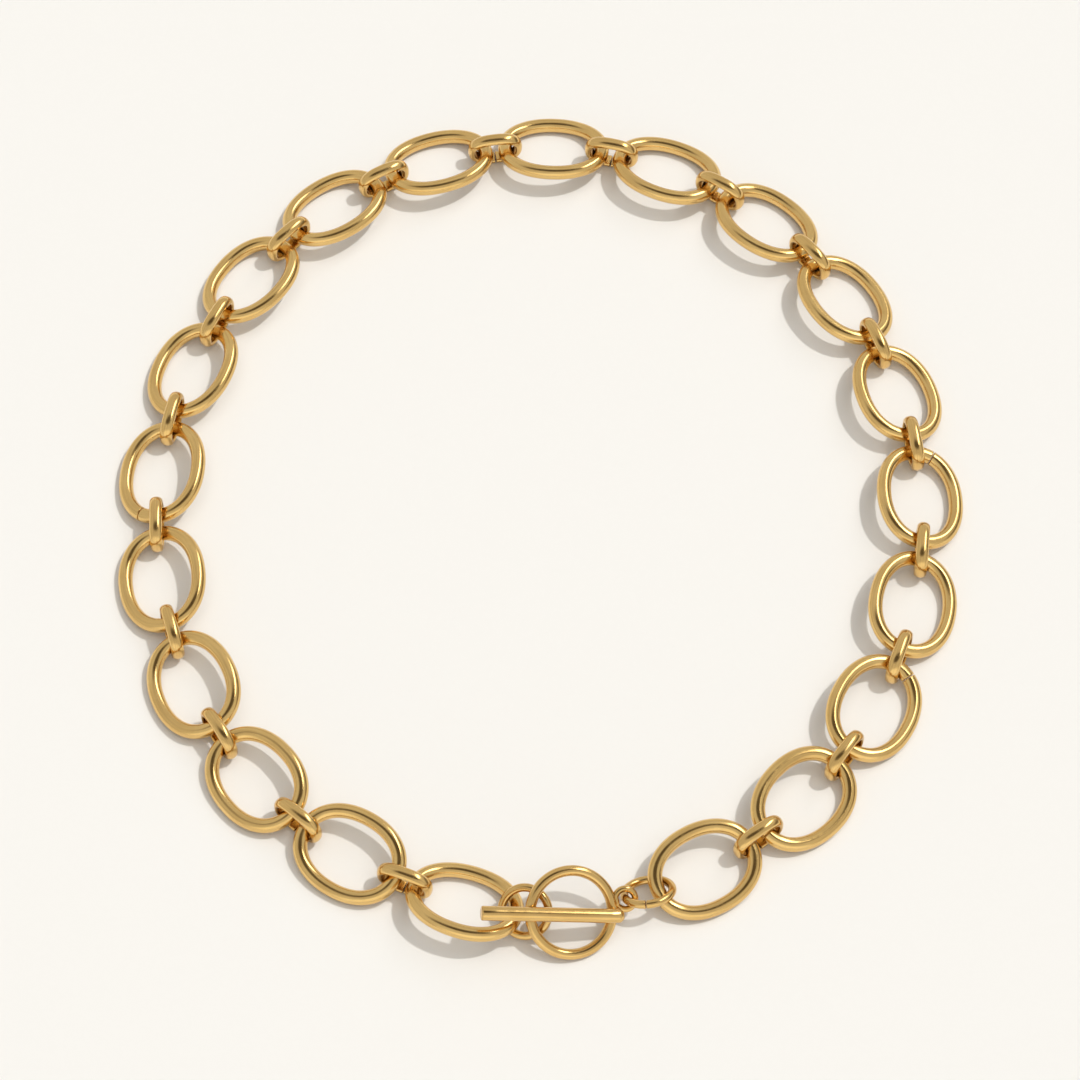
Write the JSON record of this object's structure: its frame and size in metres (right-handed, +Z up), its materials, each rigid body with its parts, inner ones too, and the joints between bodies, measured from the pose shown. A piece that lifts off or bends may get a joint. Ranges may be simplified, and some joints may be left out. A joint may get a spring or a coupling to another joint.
{
  "type": "chain necklace",
  "caption": "Gold toggle-clasp chain necklace, fastened: large oval wire links joined by small upright connector links, a bar passed through a ring, lying in an open loop.",
  "frame": {"origin": "middle of the necklace's footprint, on the surface it lies on", "axes": "+Z up, away from the surface; +Y from the clasp to the back of the neck; +X to the side of the clasp's ring"},
  "size_m": [0.146, 0.1648, 0.011],
  "materials": {
    "link_gold": "polished",
    "connector_gold": "polished",
    "clasp_gold": "polished"
  },
  "bodies": {
    "link_01": {"link_01": "link_gold"},
    "link_02": {"link_02": "link_gold"},
    "link_03": {"link_03": "link_gold"},
    "link_04": {"link_04": "link_gold"},
    "link_05": {"link_05": "link_gold"},
    "link_06": {"link_06": "link_gold"},
    "link_07": {"link_07": "link_gold"},
    "link_08": {"link_08": "link_gold"},
    "link_09": {"link_09": "link_gold"},
    "link_10": {"link_10": "link_gold"},
    "link_11": {"link_11": "link_gold"},
    "link_12": {"link_12": "link_gold"},
    "link_13": {"link_13": "link_gold"},
    "link_14": {"link_14": "link_gold"},
    "link_15": {"link_15": "link_gold"},
    "link_16": {"link_16": "link_gold"},
    "link_17": {"link_17": "link_gold"},
    "link_18": {"link_18": "link_gold"},
    "link_19": {"link_19": "link_gold"},
    "link_20": {"link_20": "link_gold"},
    "connector_01": {"connector_01": "connector_gold"},
    "connector_02": {"connector_02": "connector_gold"},
    "connector_03": {"connector_03": "connector_gold"},
    "connector_04": {"connector_04": "connector_gold"},
    "connector_05": {"connector_05": "connector_gold"},
    "connector_06": {"connector_06": "connector_gold"},
    "connector_07": {"connector_07": "connector_gold"},
    "connector_08": {"connector_08": "connector_gold"},
    "connector_09": {"connector_09": "connector_gold"},
    "connector_10": {"connector_10": "connector_gold"},
    "connector_11": {"connector_11": "connector_gold"},
    "connector_12": {"connector_12": "connector_gold"},
    "connector_13": {"connector_13": "connector_gold"},
    "connector_14": {"connector_14": "connector_gold"},
    "connector_15": {"connector_15": "connector_gold"},
    "connector_16": {"connector_16": "connector_gold"},
    "connector_17": {"connector_17": "connector_gold"},
    "connector_18": {"connector_18": "connector_gold"},
    "connector_19": {"connector_19": "connector_gold"},
    "bar_jump_ring": {"bar_jump_ring": "clasp_gold"},
    "ring_jump_ring": {"ring_jump_ring": "clasp_gold"},
    "toggle_ring": {"toggle_ring": "clasp_gold"},
    "toggle_bar": {"toggle_bar": "clasp_gold"}
  },
  "joints": [
    {"name": "link_10_fold", "type": "hinge", "parent": "connector_10", "child": "link_10", "pos_m": [-0.01003, 0.07475, 0.00318], "axis": [0.2965, -0.9092, 0.2924], "range_deg": [-80, 80]},
    {"name": "connector_09_turn", "type": "hinge", "parent": "link_10", "child": "connector_09", "pos_m": [-0.0223, 0.07075, 0.00318], "axis": [0, 0, -1], "range_deg": [-35, 35]},
    {"name": "link_09_fold", "type": "hinge", "parent": "connector_09", "child": "link_09", "pos_m": [-0.02988, 0.06761, 0.00318], "axis": [0.5795, -0.7607, 0.2924], "range_deg": [-80, 80]},
    {"name": "connector_08_turn", "type": "hinge", "parent": "link_09", "child": "connector_08", "pos_m": [-0.04015, 0.05979, 0.00318], "axis": [0, 0, -1], "range_deg": [-35, 35]},
    {"name": "link_08_fold", "type": "hinge", "parent": "connector_08", "child": "link_08", "pos_m": [-0.04631, 0.05437, 0.00318], "axis": [0.7798, -0.5536, 0.2924], "range_deg": [-80, 80]},
    {"name": "connector_07_turn", "type": "hinge", "parent": "link_08", "child": "connector_07", "pos_m": [-0.05378, 0.04385, 0.00318], "axis": [0, 0, -1], "range_deg": [-35, 35]},
    {"name": "link_07_fold", "type": "hinge", "parent": "connector_07", "child": "link_07", "pos_m": [-0.0581, 0.03687, 0.00318], "axis": [0.9003, -0.3223, 0.2924], "range_deg": [-80, 80]},
    {"name": "connector_06_turn", "type": "hinge", "parent": "link_07", "child": "connector_06", "pos_m": [-0.06245, 0.02472, 0.00318], "axis": [0, 0, -1], "range_deg": [-35, 35]},
    {"name": "link_06_fold", "type": "hinge", "parent": "connector_06", "child": "link_06", "pos_m": [-0.06476, 0.01685, 0.00318], "axis": [0.9526, -0.0839, 0.2924], "range_deg": [-80, 80]},
    {"name": "connector_05_turn", "type": "hinge", "parent": "link_06", "child": "connector_05", "pos_m": [-0.06589, 0.004, 0.00318], "axis": [0, 0, -1], "range_deg": [-10.6, 10.6]},
    {"name": "link_05_fold", "type": "hinge", "parent": "connector_05", "child": "link_05", "pos_m": [-0.06616, -0.00421, 0.00318], "axis": [0.9435, 0.1558, 0.2924], "range_deg": [-80, 80]},
    {"name": "connector_04_turn", "type": "hinge", "parent": "link_05", "child": "connector_04", "pos_m": [-0.06406, -0.01694, 0.00318], "axis": [0, 0, -1], "range_deg": [-35, 35]},
    {"name": "link_04_fold", "type": "hinge", "parent": "connector_04", "child": "link_04", "pos_m": [-0.06228, -0.02495, 0.00318], "axis": [0.8718, 0.393, 0.2924], "range_deg": [-80, 80]},
    {"name": "connector_03_turn", "type": "hinge", "parent": "link_04", "child": "connector_03", "pos_m": [-0.05697, -0.03671, 0.00318], "axis": [0, 0, -1], "range_deg": [-35, 35]},
    {"name": "link_03_fold", "type": "hinge", "parent": "connector_03", "child": "link_03", "pos_m": [-0.05316, -0.04399, 0.00318], "axis": [0.7285, 0.6195, 0.2924], "range_deg": [-80, 80]},
    {"name": "connector_02_turn", "type": "hinge", "parent": "link_03", "child": "connector_02", "pos_m": [-0.04481, -0.05381, 0.00318], "axis": [0, 0, -1], "range_deg": [-35, 35]},
    {"name": "link_02_fold", "type": "hinge", "parent": "connector_02", "child": "link_02", "pos_m": [-0.03909, -0.05972, 0.00318], "axis": [0.5027, 0.8135, 0.2924], "range_deg": [-80, 80]},
    {"name": "connector_01_turn", "type": "hinge", "parent": "link_02", "child": "connector_01", "pos_m": [-0.02812, -0.0665, 0.00318], "axis": [0, 0, -1], "range_deg": [-35, 35]},
    {"name": "link_01_fold", "type": "hinge", "parent": "connector_01", "child": "link_01", "pos_m": [-0.02077, -0.07008, 0.00351], "axis": [0.3211, 0.8831, -0.342], "range_deg": [-80, 80]},
    {"name": "bar_jump_ring_swing", "type": "hinge", "parent": "link_01", "child": "bar_jump_ring", "pos_m": [-0.00432, -0.07606, 0.00351], "axis": [0.9821, 0.1879, -0.0134], "range_deg": [-5, 5]},
    {"name": "toggle_bar_swivel", "type": "hinge", "parent": "bar_jump_ring", "child": "toggle_bar", "pos_m": [0.00133, -0.07563, 0.00457], "axis": [0.2115, -0.4895, 0.846], "range_deg": [-6, 6]},
    {"name": "link_11_fold", "type": "hinge", "parent": "connector_10", "child": "link_11", "pos_m": [-0.00642, 0.07526, 0.00318], "axis": [0.0408, 0.9554, -0.2924], "range_deg": [-80, 80]},
    {"name": "connector_11_turn", "type": "hinge", "parent": "link_11", "child": "connector_11", "pos_m": [0.00647, 0.07471, 0.00318], "axis": [0, 0, 1], "range_deg": [-35, 35]},
    {"name": "link_12_fold", "type": "hinge", "parent": "connector_11", "child": "link_12", "pos_m": [0.01462, 0.0737, 0.00318], "axis": [0.3702, 0.8818, -0.2924], "range_deg": [-80, 80]},
    {"name": "connector_12_turn", "type": "hinge", "parent": "link_12", "child": "connector_12", "pos_m": [0.02652, 0.06871, 0.00318], "axis": [0, 0, 1], "range_deg": [-35, 35]},
    {"name": "link_13_fold", "type": "hinge", "parent": "connector_12", "child": "link_13", "pos_m": [0.03383, 0.06496, 0.00318], "axis": [0.6346, 0.7154, -0.2924], "range_deg": [-80, 80]},
    {"name": "connector_13_turn", "type": "hinge", "parent": "link_13", "child": "connector_13", "pos_m": [0.04348, 0.0564, 0.00318], "axis": [0, 0, 1], "range_deg": [-35, 35]},
    {"name": "link_14_fold", "type": "hinge", "parent": "connector_13", "child": "link_14", "pos_m": [0.04923, 0.05054, 0.00318], "axis": [0.8151, 0.5002, -0.2924], "range_deg": [-80, 80]},
    {"name": "connector_14_turn", "type": "hinge", "parent": "link_14", "child": "connector_14", "pos_m": [0.05598, 0.03955, 0.00318], "axis": [0, 0, 1], "range_deg": [-35, 35]},
    {"name": "link_15_fold", "type": "hinge", "parent": "connector_14", "child": "link_15", "pos_m": [0.05983, 0.0323, 0.00318], "axis": [0.9185, 0.2662, -0.2924], "range_deg": [-80, 80]},
    {"name": "connector_15_turn", "type": "hinge", "parent": "link_15", "child": "connector_15", "pos_m": [0.06342, 0.01991, 0.00318], "axis": [0, 0, 1], "range_deg": [-35, 35]},
    {"name": "link_16_fold", "type": "hinge", "parent": "connector_15", "child": "link_16", "pos_m": [0.06526, 0.01191, 0.00318], "axis": [0.9559, 0.0272, -0.2924], "range_deg": [-80, 80]},
    {"name": "connector_16_turn", "type": "hinge", "parent": "link_16", "child": "connector_16", "pos_m": [0.06562, -0.00099, 0.00318], "axis": [0, 0, 1], "range_deg": [-35, 35]},
    {"name": "link_17_fold", "type": "hinge", "parent": "connector_16", "child": "link_17", "pos_m": [0.0654, -0.00919, 0.00318], "axis": [0.9324, -0.2123, -0.2924], "range_deg": [-80, 80]},
    {"name": "connector_17_turn", "type": "hinge", "parent": "link_17", "child": "connector_17", "pos_m": [0.06254, -0.02177, 0.00318], "axis": [0, 0, 1], "range_deg": [-35, 35]},
    {"name": "link_18_fold", "type": "hinge", "parent": "connector_17", "child": "link_18", "pos_m": [0.06027, -0.02966, 0.00318], "axis": [0.8448, -0.4481, -0.2924], "range_deg": [-80, 80]},
    {"name": "connector_18_turn", "type": "hinge", "parent": "link_18", "child": "connector_18", "pos_m": [0.05423, -0.04106, 0.00318], "axis": [0, 0, 1], "range_deg": [-35, 35]},
    {"name": "link_19_fold", "type": "hinge", "parent": "connector_18", "child": "link_19", "pos_m": [0.04995, -0.04807, 0.00318], "axis": [0.6828, -0.6695, -0.2924], "range_deg": [-80, 80]},
    {"name": "connector_19_turn", "type": "hinge", "parent": "link_19", "child": "connector_19", "pos_m": [0.04092, -0.05728, 0.00318], "axis": [0, 0, 1], "range_deg": [-35, 35]},
    {"name": "link_20_fold", "type": "hinge", "parent": "connector_19", "child": "link_20", "pos_m": [0.03474, -0.06268, 0.00318], "axis": [0.481, -0.8265, -0.2924], "range_deg": [0, 9.9]},
    {"name": "ring_jump_ring_swing", "type": "hinge", "parent": "link_20", "child": "ring_jump_ring", "pos_m": [0.01962, -0.07148, 0.00318], "axis": [0.9821, 0.1879, -0.0134], "range_deg": [-5, 5]},
    {"name": "toggle_ring_swivel", "type": "hinge", "parent": "ring_jump_ring", "child": "toggle_ring", "pos_m": [0.0139, -0.07282, 0.004], "axis": [0.2115, -0.4895, 0.846], "range_deg": [-4, 4]}
  ],
  "couplings": [
    {"joint": "link_10_fold", "follows": "link_20_fold", "ratio": 0.2918},
    {"joint": "connector_09_turn", "follows": "connector_05_turn", "ratio": -0.163},
    {"joint": "link_09_fold", "follows": "link_20_fold", "ratio": 0.4604},
    {"joint": "connector_08_turn", "follows": "connector_05_turn", "ratio": -0.3975},
    {"joint": "link_08_fold", "follows": "link_20_fold", "ratio": 0.2176},
    {"joint": "connector_07_turn", "follows": "connector_05_turn", "ratio": -0.3038},
    {"joint": "link_07_fold", "follows": "link_20_fold", "ratio": -0.333},
    {"joint": "connector_06_turn", "follows": "connector_05_turn", "ratio": 0.5926},
    {"joint": "link_06_fold", "follows": "link_20_fold", "ratio": -0.5461},
    {"joint": "link_05_fold", "follows": "link_20_fold", "ratio": -0.564},
    {"joint": "connector_04_turn", "follows": "connector_05_turn", "ratio": 0.7019},
    {"joint": "link_04_fold", "follows": "link_20_fold", "ratio": -0.4023},
    {"joint": "connector_03_turn", "follows": "connector_05_turn", "ratio": -0.1227},
    {"joint": "link_03_fold", "follows": "link_20_fold", "ratio": 0.238},
    {"joint": "connector_02_turn", "follows": "connector_05_turn", "ratio": -0.6944},
    {"joint": "link_02_fold", "follows": "link_20_fold", "ratio": 0.9625},
    {"joint": "connector_01_turn", "follows": "connector_05_turn", "ratio": -0.518},
    {"joint": "link_01_fold", "follows": "link_20_fold", "ratio": 0.092},
    {"joint": "link_11_fold", "follows": "link_20_fold", "ratio": 0.3917},
    {"joint": "connector_11_turn", "follows": "connector_05_turn", "ratio": -0.1227},
    {"joint": "link_12_fold", "follows": "link_20_fold", "ratio": -0.0923},
    {"joint": "connector_12_turn", "follows": "connector_05_turn", "ratio": -0.8347},
    {"joint": "link_13_fold", "follows": "link_20_fold", "ratio": 0.7211},
    {"joint": "connector_13_turn", "follows": "connector_05_turn", "ratio": -0.2145},
    {"joint": "link_14_fold", "follows": "link_20_fold", "ratio": 0.2047},
    {"joint": "connector_14_turn", "follows": "connector_05_turn", "ratio": -0.1227},
    {"joint": "link_15_fold", "follows": "link_20_fold", "ratio": -0.3247},
    {"joint": "connector_15_turn", "follows": "connector_05_turn", "ratio": 0.5257},
    {"joint": "link_16_fold", "follows": "link_20_fold", "ratio": -0.7419},
    {"joint": "connector_16_turn", "follows": "connector_05_turn", "ratio": 0.9437},
    {"joint": "link_17_fold", "follows": "link_20_fold", "ratio": -0.4741},
    {"joint": "connector_17_turn", "follows": "connector_05_turn", "ratio": 0.7453},
    {"joint": "link_18_fold", "follows": "link_20_fold", "ratio": -0.0923},
    {"joint": "connector_18_turn", "follows": "connector_05_turn", "ratio": -0.1437},
    {"joint": "link_19_fold", "follows": "link_20_fold", "ratio": -0.0921},
    {"joint": "connector_19_turn", "follows": "connector_05_turn", "ratio": -0.8716},
    {"joint": "ring_jump_ring_swing", "follows": "bar_jump_ring_swing", "ratio": 1}
  ]
}
